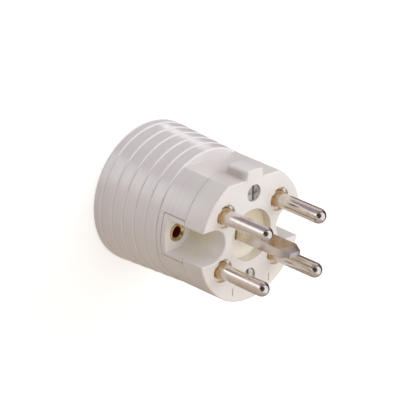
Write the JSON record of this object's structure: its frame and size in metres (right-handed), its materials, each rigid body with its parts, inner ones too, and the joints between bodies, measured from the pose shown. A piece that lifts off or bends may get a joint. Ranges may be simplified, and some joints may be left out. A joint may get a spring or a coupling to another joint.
{
  "type": "three-phase plug",
  "caption": "Round three-phase power plug in ivory plastic: stepped grip housing, round contact pins, a flat earth blade, a key rib and side channels with brass bushes.",
  "frame": {"origin": "centre of the flat rear end that carries the cable inlet", "axes": "+Z along the plug from the rear end to the contact tips, +Y towards the key rib, +X across the contact face"},
  "size_m": [0.0483, 0.0482, 0.0681],
  "materials": {
    "housing_plastic": "moulded ivory thermoset, satin",
    "carrier_plastic": "moulded ivory thermoset, satin",
    "nickel": "polished nickel plating on brass",
    "blade_nickel": "nickel plating on brass",
    "brass": "bright turned",
    "steel": "zinc plated",
    "plate_laminate": "brown insulating laminate"
  },
  "bodies": {
    "root": {"grip_housing": "housing_plastic", "contact_carrier": "carrier_plastic", "contact_l1": "nickel", "contact_l2": "nickel", "contact_l3": "nickel", "contact_n": "nickel", "earth_blade": "blade_nickel", "side_bush_left": "brass", "side_bush_right": "brass", "housing_screws": "steel", "housing_inserts": "brass", "retaining_plate": "plate_laminate", "plate_screws": "steel", "terminal_washers": "steel", "terminal_screws": "steel", "cord_clamp_bar": "carrier_plastic", "clamp_screws": "steel"}
  },
  "joints": []
}
